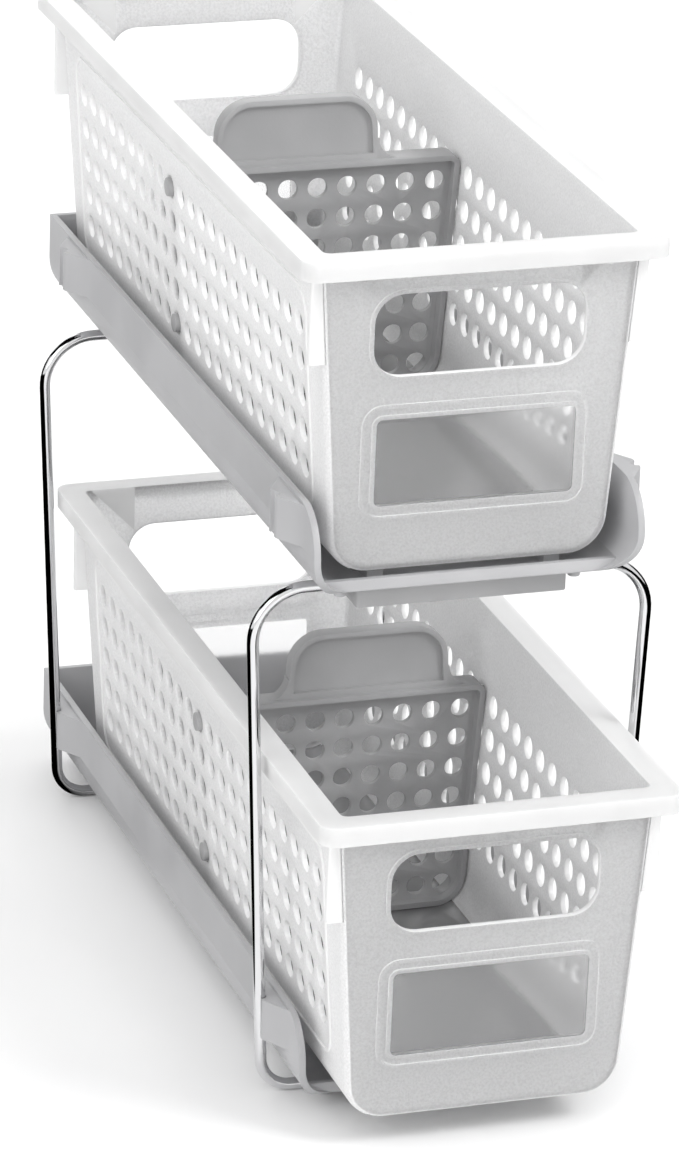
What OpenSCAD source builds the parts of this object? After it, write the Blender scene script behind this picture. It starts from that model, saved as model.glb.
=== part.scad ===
// Two-tier pull-out cabinet basket. Two open trays are tied one above the other by
// two closed wire hoops, and each tray carries a perforated basket that pulls out to the front.
// A removable divider plugs into the side holes of each basket.
// Millimetres. X is to the right, Y is to the back, Z is up, and the front faces -Y.
// The origin is on the floor, under the middle of the whole object.

/* [Basket] */
// Length of a basket over its rim, front to back
basket_l = 368; // [320:1:420]
// Width of a basket over its rim
basket_w = 139; // [126:1:170]
// Height of a basket from its base to the top of its rim
basket_h = 124; // [122:1:150]
// Thickness of the basket's walls, base and rim
basket_wall = 2; // [1.6:0.1:2.6]
// Lean of the long walls, inwards towards the base, in degrees
side_lean = 4; // [2:0.5:5]
// Lean of the two end walls, in degrees
end_lean = 1.7; // [1:0.1:3]
// Radius of the upright corners
corner_r = 5; // [4:0.5:8]
// Radius of the two long base edges
base_r = 14; // [8:1:18]
// Radius of the two short base edges
end_edge_r = 3; // [2:0.5:5]

/* [Rim] */
// Width of the flat band round the top, outside the walls
rim_band = 8.2; // [6:0.2:10]
// Depth of the turned-down skirt
rim_drop = 7.5; // [5:0.5:10]
// Radius of the skirt's corners
rim_r = 5; // [4:0.5:8]

/* [Side holes] */
// Diameter of the side holes
hole_d = 9; // [7:0.5:10]
// Distance between holes, along the basket and down it
hole_pitch = 13.8; // [12.5:0.1:15]
// Number of holes in a row
hole_cols = 22; // [16:1:22]
// Number of rows
hole_rows = 5; // [5:1:5]
// Depth of the first row's centres below the top of the rim
first_row = 35.1; // [33:0.1:38]
// Height that the raised lines stand off the walls
bead_h = 0.7; // [0.4:0.1:1]
// Width of the raised lines
bead_w = 1.6; // [1:0.1:2.4]

/* [End openings] */
// Width of the hand hole in each end wall
grip_w = 80.4; // [60:0.2:90]
// Height of the hand hole
grip_h = 31.5; // [24:0.5:34]
// Corner radius of the hand hole
grip_r = 11; // [6:1:12]
// Depth of the hand hole's upper edge below the top of the rim
grip_drop = 16.5; // [14:0.5:20]
// Width of the label window's frame
window_w = 87; // [70:1:90]
// Height of the label window's frame
window_h = 44.5; // [36:0.5:46]
// Corner radius of the label window's frame
window_r = 8; // [5:1:10]
// Plain wall between the hand hole and the window's frame
window_gap = 10.6; // [8:0.2:14]
// Plain band between the frame's two lines
window_band = 2.4; // [1.5:0.1:4]

/* [Divider] */
// Thickness of the divider's plate and of its edge flange
divider_t = 2.2; // [1.6:0.1:3]
// Depth of the edge flange, front to back
flange_l = 11; // [9:0.5:14]
// Gap between the divider's edge and the basket's walls and base
divider_gap = 0.6; // [0.3:0.1:1.2]
// Depth of the shoulders below the top of the rim
shoulder_drop = 28.3; // [25:0.1:30]
// Depth of the handle's top below the top of the rim
handle_drop = 2.4; // [2:0.1:8]
// Width of the handle at the shoulders
handle_w = 66; // [50:1:70]
// Distance of the handle from the middle of the plate
handle_shift = 9; // [0:0.5:12]
// Radius of the handle's upper corners
handle_r = 13; // [8:1:16]
// Diameter of the divider's round holes
vent_d = 8; // [6:0.5:9]
// Number of holes across
vent_cols = 9; // [5:2:9]
// Number of rows of holes
vent_rows = 7; // [5:1:7]
// Distance between the rows
vent_pitch = 12.4; // [11:0.1:12.6]
// Radial clearance of the snap pegs in the side holes
peg_clear = 0.5; // [0.2:0.1:1]
// How far a snap peg stands out of the basket's wall
peg_out = 1.5; // [0.5:0.1:2.5]
// Hole column, from the front, that holds the upper divider
upper_column = 12; // [4:1:15]
// Hole column, from the front, that holds the lower divider
lower_column = 11; // [4:1:15]

/* [Trays] */
// Length of a tray
tray_l = 363; // [320:1:380]
// Height of a tray's sides over its underside
tray_h = 36.3; // [30:0.1:44]
// Thickness of a tray's walls and floor
tray_wall = 2.5; // [2:0.1:3.2]
// Radius of a tray's long lower edges
tray_r = 18; // [12:1:18]
// Gap between a basket's wall and a tray's side, at the tray's upper edge
side_gap = 6; // [4:0.1:10]
// Gap between a stowed basket and a tray's back wall
back_gap = 3; // [2:0.5:6]
// Height of the two slide rails over a tray's floor
rail_h = 4.8; // [3:0.1:7]
// Width of a slide rail
rail_w = 6; // [4:0.5:10]
// Distance between the slide rails' centres
rail_span = 68; // [50:1:74]
// Diameter of a tray's foot pegs
peg_foot_d = 6; // [4:0.5:8]

/* [Leg sockets] */
// Height of a leg socket
socket_h = 16; // [10:1:24]
// Drop of a leg socket below the tray's upper edge
socket_drop = 1; // [0.5:0.5:4]
// Length of a socket's slope along the tray's side, in front of the leg and behind it
socket_slope = 11; // [6:0.5:14]
// Thickness of the socket in front of the leg and behind it, at its outer face
socket_wall = 1.8; // [1.4:0.1:3]
// How far a socket's outer face stands past the leg's centre line
socket_out = 0.3; // [0:0.1:1]
// Radial clearance of a leg in its socket
leg_clear = 0.3; // [0.2:0.05:0.6]

/* [Wire hoops] */
// Diameter of the wire
wire_d = 4.5; // [3.5:0.1:5.5]
// Height of one tier, from tray to tray
tier_h = 200; // [180:1:240]
// Gap between the lower basket's rim and a hoop's leg, on each side
hoop_gap = 2.5; // [0.6:0.1:4]
// Lean of a hoop's legs, outwards towards the top, in degrees
leg_lean = 2.5; // [0:0.5:3]
// Bend radius of the upper corners, on the wire's centre line
upper_bend = 20; // [12:1:24]
// Bend radius of the lower corners, on the wire's centre line
lower_bend = 12; // [10:1:20]
// Distance of the front hoop behind the trays' front ends
hoop_in = 29.6; // [22:0.1:45]
// Distance between the two hoops
hoop_span = 290; // [200:1:300]

/* [Bar clips] */
// Width of a clip that holds a hoop's top bar to the upper tray
clip_w = 81; // [50:1:90]
// Length of a clip, front to back
clip_l = 22; // [14:1:30]
// Height of a clip
clip_h = 8.2; // [7:0.1:12]
// Radial clearance of the bar in its clip
clip_clear = 0.1; // [0.05:0.05:0.3]

/* [Pose] */
// How far the lower basket stands pulled out
lower_pull = 40; // [0:1:120]

/* [Hidden] */
round_fn = 48;
hull_fn = 32;
eps = 0.01;
// How far a raised line is sunk into its wall
sink = 0.4;

// Basket walls: half-width and half-length at the rim, and at a depth below the rim's top
wall_x = basket_w / 2 - rim_band;
wall_y = basket_l / 2 - rim_band;
function side_x(depth) = wall_x - depth * tan(side_lean);
function end_y(depth) = wall_y - depth * tan(end_lean);
function column_y(column) = (column - (hole_cols - 1) / 2) * hole_pitch;
function row_depth(row) = first_row + row * hole_pitch;

// Heights of the stack
tray_z = [wire_d, wire_d + tier_h];
basket_lift = tray_wall + rail_h;
foot_peg_h = wire_d;

// The stowed basket's middle, and the trays' ends
stow_y = lower_pull / 2;
basket_top_in_tray = basket_h + basket_lift - tray_h;
tray_back = stow_y + end_y(basket_top_in_tray) + back_gap + tray_wall;
tray_front = tray_back - tray_l;
tray_half = side_x(basket_top_in_tray) + side_gap + tray_wall;
nose_r = tray_h / 2;

// Hoops: distance of a leg from the middle, at a height over the floor, and the sockets
lower_rim_z = tray_z[0] + basket_lift + basket_h;
function leg_x(height) = basket_w / 2 + hoop_gap + wire_d / 2 + (height - lower_rim_z) * tan(leg_lean);
front_hoop_y = tray_front + hoop_in;
rear_hoop_y = front_hoop_y + hoop_span;
socket_half = wire_d / 2 + leg_clear;
socket_mid = tray_h - socket_drop - socket_h / 2;
socket_leg_x = leg_x(tray_z[0] + socket_mid);
// A straight stretch of wire ends inside the bends, and is a hair thinner to lie clear inside them
straight_lap = 0.3;
straight_d = wire_d - 0.04;

// Divider: half-width of its edge at a depth, and the depths of its base and first holes
function edge_x(depth) = side_x(depth) - basket_wall / cos(side_lean) - divider_gap;
divider_base = basket_h - basket_wall - divider_gap;
shoulder_r = 4;
divider_base_r = base_r - basket_wall - divider_gap;
vent_margin = 8.2;
vent_first = shoulder_drop + 10.9;
handle_inset = 1.5;
handle_fillet = 8;
handle_flange = 6;
peg_rows = [0, hole_rows - 1];

// ---- Shared shapes -------------------------------------------------------------------------

// A rectangle on its centre with round corners
module rounded_rect(w, l, r) {
    square([w - 2 * r, l], center = true);
    square([w, l - 2 * r], center = true);
    for (sx = [-1, 1], sy = [-1, 1])
        translate([sx * (w / 2 - r), sy * (l / 2 - r)]) circle(r, $fn = round_fn);
}

// A line of even width round a rounded rectangle
module rect_line(w, l, r, line) {
    difference() {
        rounded_rect(w, l, r);
        rounded_rect(w - 2 * line, l - 2 * line, r - line);
    }
}

// Puts children on both long walls: X runs along the wall, Y up it, Z out of it
module on_sides() {
    for (turn = [0, 180])
        rotate([0, 0, turn]) translate([wall_x, 0, basket_h])
            rotate([0, side_lean, 0]) rotate([90, 0, 90]) children();
}

// Puts children on both end walls: X runs along the wall, Y up it, Z out of it
module on_ends() {
    for (turn = [0, 180])
        rotate([0, 0, turn]) translate([0, -wall_y, basket_h])
            rotate([end_lean, 0, 0]) rotate([90, 0, 0]) children();
}

// ---- Basket --------------------------------------------------------------------------------

// A base corner: a disc facing along Y whose outer edge is round
module base_corner(r, edge) {
    steps = 4;
    rotate([90, 0, 0]) rotate_extrude($fn = hull_fn)
        polygon(concat(
            [[0, -edge], [r, -edge]],
            [for (i = [0:steps]) [
                r - edge + edge * cos(i * 90 / steps),
                -edge + edge * sin(i * 90 / steps)
            ]],
            [[0, 0]]
        ));
}

// The tapered body of the basket, drawn in by inset all round
module basket_body(inset) {
    axis_depth = basket_h - base_r;
    corner_x = side_x(axis_depth) - base_r / cos(side_lean);
    corner_y = end_y(axis_depth) - inset / cos(end_lean);
    hull() {
        for (sx = [-1, 1], sy = [-1, 1])
            translate([sx * (wall_x - corner_r), sy * (wall_y - corner_r), basket_h - eps])
                cylinder(r = corner_r - inset, h = eps, $fn = hull_fn);
        for (turn = [0, 180], sx = [-1, 1])
            rotate([0, 0, turn]) translate([sx * corner_x, -corner_y, base_r])
                rotate([end_lean, 0, 0]) base_corner(base_r - inset, end_edge_r);
        translate([0, 0, inset + eps / 2])
            cube([2 * corner_x, 2 * (corner_y - end_edge_r - base_r * sin(end_lean)), eps], center = true);
    }
}

// The flat band and its turned-down skirt
module rim() {
    translate([0, 0, basket_h - basket_wall])
        linear_extrude(basket_wall) rounded_rect(basket_w, basket_l, rim_r);
    translate([0, 0, basket_h - rim_drop])
        linear_extrude(rim_drop) rect_line(basket_w, basket_l, rim_r, basket_wall);
}

// The raised line round the field of side holes
module side_frame() {
    field_l = (hole_cols - 1) * hole_pitch + 21;
    field_top = row_depth(0) - 15.7;
    field_base = row_depth(hole_rows - 1) + 15.7;
    on_sides()
        translate([0, -(field_top + field_base) / 2, -sink])
            linear_extrude(sink + bead_h)
                rect_line(field_l, field_base - field_top, 10, bead_w);
}

// The raised lines round the hand hole and the label window
module end_frames() {
    window_mid = grip_drop + grip_h + window_gap + window_h / 2;
    inset = 2 * (bead_w + window_band);
    on_ends() {
        translate([0, -grip_drop - grip_h / 2, -sink])
            linear_extrude(sink + bead_h)
                rounded_rect(grip_w + 2 * bead_w, grip_h + 2 * bead_w, grip_r + bead_w);
        translate([0, -window_mid, -sink]) linear_extrude(sink + bead_h) {
            rect_line(window_w, window_h, window_r, bead_w);
            rect_line(window_w - inset, window_h - inset, window_r - inset / 2, bead_w);
        }
    }
}

module grip_holes() {
    on_ends()
        translate([0, -grip_drop - grip_h / 2, -3 * basket_wall])
            linear_extrude(6 * basket_wall) rounded_rect(grip_w, grip_h, grip_r);
}

module side_holes() {
    for (row = [0:hole_rows - 1], column = [0:hole_cols - 1])
        translate([0, column_y(column), basket_h - row_depth(row)])
            rotate([0, 90, 0]) cylinder(d = hole_d, h = basket_w, center = true, $fn = round_fn);
}

module basket(pulled, tier) {
    translate([0, stow_y - pulled, tray_z[tier] + basket_lift])
        difference() {
            union() {
                basket_body(0);
                rim();
                side_frame();
                end_frames();
            }
            basket_body(basket_wall);
            translate([0, 0, basket_h - eps])
                linear_extrude(1)
                    rounded_rect(
                        2 * (wall_x - basket_wall), 2 * (wall_y - basket_wall), corner_r - basket_wall
                    );
            grip_holes();
            side_holes();
        }
}

// ---- Divider -------------------------------------------------------------------------------

// Outline of the divider below its shoulders. X is across, Y is minus the depth.
module divider_outline(inset) {
    top_y = -shoulder_drop - shoulder_r;
    top_x = edge_x(shoulder_drop + shoulder_r) - shoulder_r / cos(side_lean);
    base_y = -divider_base + divider_base_r;
    base_x = edge_x(divider_base - divider_base_r) - divider_base_r / cos(side_lean);
    top_in = shoulder_r - inset;
    base_in = divider_base_r - inset;
    lean = [cos(side_lean), -sin(side_lean)];
    right = [
        [top_x, top_y + top_in],
        [top_x, top_y] + top_in * lean,
        [base_x, base_y] + base_in * lean,
        [base_x, base_y - base_in]
    ];
    left = [for (i = [3:-1:0]) [-right[i].x, right[i].y]];
    polygon(concat(right, left));
    for (sx = [-1, 1]) {
        translate([sx * top_x, top_y]) circle(top_in, $fn = round_fn);
        translate([sx * base_x, base_y]) circle(base_in, $fn = round_fn);
    }
}

// Outline of the handle, on its own centre, down to a depth below the shoulders
module handle_outline(inset, foot) {
    half = handle_w / 2;
    arc_x = half - handle_inset - handle_r;
    arc_y = -handle_drop - handle_r;
    r = handle_r - inset;
    polygon([
        [-half + inset, foot], [half - inset, foot], [arc_x + r, arc_y],
        [arc_x, arc_y + r], [-arc_x, arc_y + r], [-arc_x - r, arc_y]
    ]);
    for (sx = [-1, 1])
        translate([sx * arc_x, arc_y]) circle(r, $fn = round_fn);
}

// The hollow curves where the handle meets the shoulders
module handle_fillets() {
    for (sx = [-1, 1])
        difference() {
            translate([sx * (handle_w / 2 + handle_fillet / 2 - eps), -shoulder_drop + handle_fillet / 2 - eps])
                square(handle_fillet, center = true);
            translate([sx * (handle_w / 2 + handle_fillet), -shoulder_drop + handle_fillet])
                circle(handle_fillet, $fn = round_fn);
        }
}

// The plate's round holes, whose columns close up towards the base as the edges do
module divider_holes() {
    half = (vent_cols - 1) / 2;
    for (row = [0:vent_rows - 1], column = [-half:half]) {
        depth = vent_first + row * vent_pitch;
        pitch = (edge_x(depth) - vent_margin) / half;
        translate([column * pitch, 0, -depth])
            rotate([90, 0, 0]) cylinder(d = vent_d, h = flange_l, center = true, $fn = round_fn);
    }
}

// The pegs that snap into the basket's side holes
module divider_pegs() {
    for (row = peg_rows, sx = [0, 1]) {
        depth = row_depth(row);
        inner = edge_x(depth) - divider_t / 2;
        outer = side_x(depth) + peg_out;
        mirror([sx, 0, 0]) translate([inner, 0, -depth])
            rotate([0, 90, 0])
                cylinder(r = hole_d / 2 - peg_clear, h = outer - inner, $fn = round_fn);
    }
}

// The divider, its tab axis at Y = 0 and the top of the rim at Z = 0
module divider_body() {
    shoulder_y = -shoulder_drop - shoulder_r;
    difference() {
        union() {
            rotate([90, 0, 0]) linear_extrude(divider_t, center = true) {
                divider_outline(0);
                translate([handle_shift, 0]) {
                    handle_outline(0, shoulder_y);
                    handle_fillets();
                }
            }
            rotate([90, 0, 0]) linear_extrude(flange_l, center = true)
                difference() {
                    divider_outline(0);
                    divider_outline(divider_t);
                }
            rotate([90, 0, 0]) linear_extrude(handle_flange, center = true)
                translate([handle_shift, 0])
                    difference() {
                        handle_outline(0, -shoulder_drop);
                        handle_outline(divider_t, -shoulder_drop + divider_t);
                    }
            divider_pegs();
        }
        divider_holes();
    }
}

module divider(pulled, tier, column, turn) {
    translate([0, stow_y - pulled + column_y(column), tray_z[tier] + basket_lift + basket_h])
        rotate([0, 0, turn]) divider_body();
}

// ---- Tray ----------------------------------------------------------------------------------

// Cross-section of the tray's outside or inside, open upwards. Y is the height.
module tray_section(half, r, low, high) {
    translate([-half + r, low]) square([2 * (half - r), high - low]);
    translate([-half, low + r]) square([2 * half, high - low - r]);
    for (sx = [-1, 1])
        translate([sx * (half - r), low + r]) circle(r, $fn = round_fn);
}

// Side view of the tray: square at the back and a half round at the front
module tray_side() {
    translate([nose_r, 0]) square([tray_l - nose_r, tray_h]);
    translate([nose_r, nose_r]) circle(nose_r, $fn = 2 * round_fn);
}

// The long trough between the sides
module tray_shell() {
    difference() {
        intersection() {
            rotate([90, 0, 180]) linear_extrude(tray_l)
                tray_section(tray_half, tray_r, 0, tray_h);
            rotate([90, 0, 90]) linear_extrude(2 * tray_half, center = true) tray_side();
        }
        translate([0, -eps, 0]) rotate([90, 0, 180])
            linear_extrude(tray_l - tray_wall + eps)
                tray_section(tray_half - tray_wall, tray_r - tray_wall, tray_wall, tray_h + 1);
    }
}

// The rails that a basket slides on
module slide_rails() {
    rail_front = nose_r;
    for (sx = [-1, 1])
        translate([sx * rail_span / 2 - rail_w / 2, rail_front, tray_wall - eps])
            cube([rail_w, tray_l - rail_front - tray_wall / 2, rail_h + eps]);
}

// A leg socket on the +X side, the leg's axis at Y = 0: a block with sloping ends and a groove
// that leans as the leg does and opens outwards
module leg_socket() {
    inner = tray_half - tray_wall / 2;
    outer = socket_leg_x + socket_out;
    face = socket_half + socket_wall;
    foot = face + socket_slope;
    groove_h = socket_h + 4;
    translate([0, 0, socket_mid]) difference() {
        linear_extrude(socket_h, center = true)
            polygon([
                [inner, -foot], [tray_half, -foot], [outer, -face],
                [outer, face], [tray_half, foot], [inner, foot]
            ]);
        translate([socket_leg_x, 0, 0]) rotate([0, leg_lean, 0]) {
            cylinder(r = socket_half, h = groove_h, center = true, $fn = round_fn);
            translate([0, -socket_half, -groove_h / 2])
                cube([2 * socket_half, 2 * socket_half, groove_h]);
        }
    }
}

// The short pegs under the tray, as tall as the wire is thick
module foot_pegs() {
    peg_x = tray_half - tray_r;
    for (sx = [-1, 1], y = [nose_r + peg_foot_d, tray_l - nose_r])
        translate([sx * peg_x, y, -foot_peg_h])
            cylinder(d1 = peg_foot_d - 1.5, d2 = peg_foot_d, h = foot_peg_h + 1, $fn = round_fn);
}

module tray(tier) {
    translate([0, tray_front, tray_z[tier]]) {
        tray_shell();
        slide_rails();
        foot_pegs();
        for (y = [hoop_in, hoop_in + hoop_span], sx = [0, 1])
            mirror([sx, 0, 0]) translate([0, y, 0]) leg_socket();
    }
}

// ---- Hoop ----------------------------------------------------------------------------------

// A bend of the wire on its own centre, from the leg on its right up to a bar over it.
// It starts at an angle over the X axis.
module bend(radius, start) {
    rotate([90, 0, 0]) rotate([0, 0, start]) rotate_extrude(angle = 90 - start, $fn = 2 * round_fn)
        translate([radius, 0]) circle(d = wire_d, $fn = round_fn);
}

// A straight stretch of the wire along Z, from bend to bend
module straight(length) {
    translate([0, 0, -straight_lap])
        cylinder(d = straight_d, h = length + 2 * straight_lap, $fn = round_fn);
}

// A closed loop of wire: a bar under each tray and a leg on each side, wider at the top
module hoop(y) {
    low = wire_d / 2;
    high = tray_z[1] - wire_d / 2;
    // Centres of the two bends, as X and Z, and the leg's ends where it meets them
    low_centre = [leg_x(low) - lower_bend * tan(45 - leg_lean / 2), low + lower_bend];
    high_centre = [leg_x(high) - upper_bend * tan(45 + leg_lean / 2), high - upper_bend];
    outwards = [cos(leg_lean), -sin(leg_lean)];
    leg_foot = low_centre + lower_bend * outwards;
    leg_head = high_centre + upper_bend * outwards;
    translate([0, y, 0]) {
        for (bar = [[low, low_centre.x], [high, high_centre.x]])
            translate([-bar[1], 0, bar[0]]) rotate([0, 90, 0]) straight(2 * bar[1]);
        for (sx = [0, 1]) mirror([sx, 0, 0]) {
            translate([leg_foot.x, 0, leg_foot.y]) rotate([0, leg_lean, 0])
                straight(norm(leg_head - leg_foot));
            translate([high_centre.x, 0, high_centre.y]) bend(upper_bend, -leg_lean);
            translate([low_centre.x, 0, low_centre.y])
                mirror([0, 0, 1]) bend(lower_bend, leg_lean);
        }
    }
}

// ---- Bar clip ------------------------------------------------------------------------------

// A saddle that holds a hoop's top bar up against the upper tray
module bar_clip(y) {
    bar_r = wire_d / 2 + clip_clear;
    translate([0, y, tray_z[1] - clip_h])
        difference() {
            translate([-clip_w / 2, -clip_l / 2, 0]) cube([clip_w, clip_l, clip_h]);
            translate([0, 0, clip_h - wire_d / 2]) rotate([0, 90, 0])
                cylinder(r = bar_r, h = clip_w + 2, center = true, $fn = round_fn);
            translate([-clip_w / 2 - 1, -bar_r, clip_h - wire_d / 2])
                cube([clip_w + 2, 2 * bar_r, wire_d]);
        }
}

// ---- The pieces ----------------------------------------------------------------------------

module upper_tray() {
    color([0.80, 0.80, 0.81]) tray(1);
}

module lower_tray() {
    color([0.80, 0.80, 0.81]) tray(0);
}

module front_hoop() {
    color([0.72, 0.73, 0.75]) hoop(front_hoop_y);
}

module rear_hoop() {
    color([0.72, 0.73, 0.75]) hoop(rear_hoop_y);
}

module front_bar_clip() {
    color([0.58, 0.58, 0.59]) bar_clip(front_hoop_y);
}

module rear_bar_clip() {
    color([0.58, 0.58, 0.59]) bar_clip(rear_hoop_y);
}

module upper_basket() {
    color([0.93, 0.93, 0.94]) basket(0, 1);
}

module lower_basket() {
    color([0.93, 0.93, 0.94]) basket(lower_pull, 0);
}

module upper_divider() {
    color([0.64, 0.64, 0.65]) divider(0, 1, upper_column, 180);
}

module lower_divider() {
    color([0.64, 0.64, 0.65]) divider(lower_pull, 0, lower_column, 0);
}

upper_tray();
lower_tray();
front_hoop();
rear_hoop();
front_bar_clip();
rear_bar_clip();
upper_basket();
lower_basket();
upper_divider();
lower_divider();
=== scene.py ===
"""Looks of a two-tier pull-out cabinet basket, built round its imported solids.

Two frosted baskets slide in two trays, and two loops of chrome wire tie the trays together.
Everything is in metres in the frame of the solids: X to the right, Y to the back, Z up.
"""

import logging
import math
from abc import ABC, abstractmethod
from collections.abc import Callable, Iterable, Iterator
from contextlib import contextmanager
from dataclasses import dataclass, field
from enum import Enum
from typing import ClassVar

import bmesh
import bpy
from mathutils import Matrix, Vector


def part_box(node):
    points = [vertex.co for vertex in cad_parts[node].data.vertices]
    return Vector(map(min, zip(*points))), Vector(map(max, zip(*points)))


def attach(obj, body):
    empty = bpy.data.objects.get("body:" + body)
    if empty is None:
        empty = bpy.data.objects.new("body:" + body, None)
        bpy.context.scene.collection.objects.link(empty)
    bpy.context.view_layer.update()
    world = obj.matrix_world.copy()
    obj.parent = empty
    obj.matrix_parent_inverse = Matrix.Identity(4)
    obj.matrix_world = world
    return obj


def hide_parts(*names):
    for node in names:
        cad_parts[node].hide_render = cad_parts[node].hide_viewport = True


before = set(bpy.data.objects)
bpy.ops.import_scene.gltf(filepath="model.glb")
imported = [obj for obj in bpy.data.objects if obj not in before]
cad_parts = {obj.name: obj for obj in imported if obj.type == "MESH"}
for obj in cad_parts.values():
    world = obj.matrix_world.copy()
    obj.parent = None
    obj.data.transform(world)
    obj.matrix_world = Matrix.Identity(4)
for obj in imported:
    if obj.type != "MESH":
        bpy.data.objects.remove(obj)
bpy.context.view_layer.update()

MM = 0.001
EPS = 1e-5

log = logging.getLogger("basket")

Colour = tuple[float, float, float]
Corner = tuple[float, float, float]
Span = tuple[float, float]
Solid = bpy.types.Object
Edge = bmesh.types.BMEdge
Face = bmesh.types.BMFace
Socket = bpy.types.NodeSocket

HALF_TURN = Matrix.Rotation(math.pi, 4, "Z")
MIRROR = Matrix.Scale(-1, 4, (1, 0, 0))
# How much of a unit normal, or of an edge, lies along the axis it is said to follow
FACING = 0.9
STRAIGHT = 0.99
# How far a long cut passes what it cuts
OVERSHOOT = 10 * MM


class Cut(Enum):
    """What a second solid does to the first."""

    ADD = "UNION"
    REMOVE = "DIFFERENCE"
    KEEP_COMMON = "INTERSECT"


class Axis(Enum):
    """A direction of the frame, as an index into a vector."""

    X = 0
    Y = 1
    Z = 2


# ---- Modelling by operators -----------------------------------------------------------------


def activate(obj: Solid) -> None:
    """Selects one object and nothing else, and makes it active.

    Args:
        obj: The object to work on.
    """
    bpy.ops.object.select_all(action="DESELECT")
    obj.select_set(True)
    bpy.context.view_layer.objects.active = obj


def named(obj: Solid, name: str) -> Solid:
    """Names an object and its mesh.

    Args:
        obj: The object.
        name: Its new name.

    Returns:
        The same object.
    """
    obj.name = name
    obj.data.name = name
    return obj


def bake_place(obj: Solid) -> Solid:
    """Moves an object's place, turn and scale into its mesh.

    Args:
        obj: The object.

    Returns:
        The same object, now at the origin.
    """
    activate(obj)
    bpy.ops.object.transform_apply(location=True, rotation=True, scale=True)
    return obj


def block(low: Iterable[float], high: Iterable[float]) -> Solid:
    """Adds a cube primitive that fills the box between two corners.

    Args:
        low: The lowest corner.
        high: The highest corner.

    Returns:
        The new object, at the origin.
    """
    start, end = Vector(low), Vector(high)
    bpy.ops.object.select_all(action="DESELECT")
    bpy.ops.mesh.primitive_cube_add(size=1, location=(start + end) / 2, scale=end - start)
    return bake_place(bpy.context.object)


def rod(centre: Iterable[float], radius: float, length: float, along: Axis, sides: int = 32,
        tip: float | None = None) -> Solid:
    """Adds a straight rod, or a tapered one, on its centre.

    Args:
        centre: The middle of the rod.
        radius: Its radius at the low end.
        length: Its length.
        along: The axis it lies along.
        sides: The number of flats round it.
        tip: Its radius at the high end, if that differs.

    Returns:
        The new object, at the origin.
    """
    turn = {Axis.X: (0, math.pi / 2, 0), Axis.Y: (math.pi / 2, 0, 0), Axis.Z: (0, 0, 0)}[along]
    bpy.ops.object.select_all(action="DESELECT")
    bpy.ops.mesh.primitive_cone_add(
        vertices=sides, radius1=radius, radius2=radius if tip is None else tip,
        depth=length, location=tuple(centre), rotation=turn,
    )
    return bake_place(bpy.context.object)


@contextmanager
def editing(obj: Solid) -> Iterator[None]:
    """Keeps one object in edit mode for the length of a with block.

    Args:
        obj: The object to work on.
    """
    activate(obj)
    bpy.ops.object.mode_set(mode="EDIT")
    yield
    bpy.ops.object.mode_set(mode="OBJECT")


def modify(obj: Solid, kind: str, **settings: object) -> Solid:
    """Gives an object a modifier and applies it.

    Args:
        obj: The object.
        kind: The modifier's type.
        **settings: Its settings.

    Returns:
        The same object.
    """
    activate(obj)
    change = obj.modifiers.new(kind.lower(), kind)
    for name, value in settings.items():
        setattr(change, name, value)
    bpy.ops.object.modifier_apply(modifier=change.name)
    return obj


def pick(obj: Solid, kind: str, test: Callable[..., bool]) -> None:
    """Selects the edges or the faces of the mesh in edit mode that pass a test.

    Args:
        obj: The object in edit mode.
        kind: "EDGE" or "FACE".
        test: Says whether one is wanted.
    """
    bpy.ops.mesh.select_all(action="DESELECT")
    bpy.ops.mesh.select_mode(type=kind)
    mesh = bmesh.from_edit_mesh(obj.data)
    mesh.normal_update()
    for part in mesh.edges if kind == "EDGE" else mesh.faces:
        if test(part):
            part.select_set(True)
    mesh.select_flush_mode()
    bmesh.update_edit_mesh(obj.data)


def middle(edge: Edge) -> Vector:
    """The middle of an edge."""
    return (edge.verts[0].co + edge.verts[1].co) / 2


def runs_along(edge: Edge, axis: Axis) -> bool:
    """True where an edge lies along an axis."""
    way = (edge.verts[1].co - edge.verts[0].co).normalized()
    return abs(way[axis.value]) > STRAIGHT


def round_edges(obj: Solid, test: Callable[[Edge], bool], radius: float,
                steps: int) -> Solid:
    """Rounds the edges that pass a test.

    Args:
        obj: The object to shape.
        test: Says whether an edge is rounded.
        radius: The radius.
        steps: The number of flats in the round.

    Returns:
        The same object.
    """
    with editing(obj):
        pick(obj, "EDGE", test)
        bpy.ops.mesh.bevel(offset=radius, offset_type="OFFSET", segments=steps, profile=0.5,
                           affect="EDGES", clamp_overlap=False)
        bpy.ops.mesh.select_all(action="SELECT")
        bpy.ops.mesh.remove_doubles(threshold=EPS)
    return obj


def rounded_block(low: Iterable[float], high: Iterable[float], along: Axis, radius: float,
                  steps: int = 8) -> Solid:
    """A block whose four edges along one axis are rounded.

    Args:
        low: The lowest corner.
        high: The highest corner.
        along: The axis of the rounded edges.
        radius: Their radius.
        steps: The number of flats in each round.

    Returns:
        The new object.
    """
    return round_edges(block(low, high), lambda edge: runs_along(edge, along), radius, steps)


def combine(target: Solid, tool: Solid, cut: Cut) -> Solid:
    """Adds a solid to another, removes it, or keeps what they share. The tool is used up.

    Args:
        target: The solid that stays.
        tool: The second solid.
        cut: What the second does to the first.

    Returns:
        The first solid.
    """
    modify(target, "BOOLEAN", operation=cut.value, solver="EXACT", object=tool)
    bpy.data.objects.remove(tool)
    return target


def join(parts: list[Solid]) -> Solid:
    """Joins meshes into the first one's object.

    Args:
        parts: The objects, at least one.

    Returns:
        The first object, which holds them all.
    """
    activate(parts[0])
    for part in parts[1:]:
        part.select_set(True)
    if len(parts) > 1:
        bpy.ops.object.join()
    return parts[0]


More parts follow.
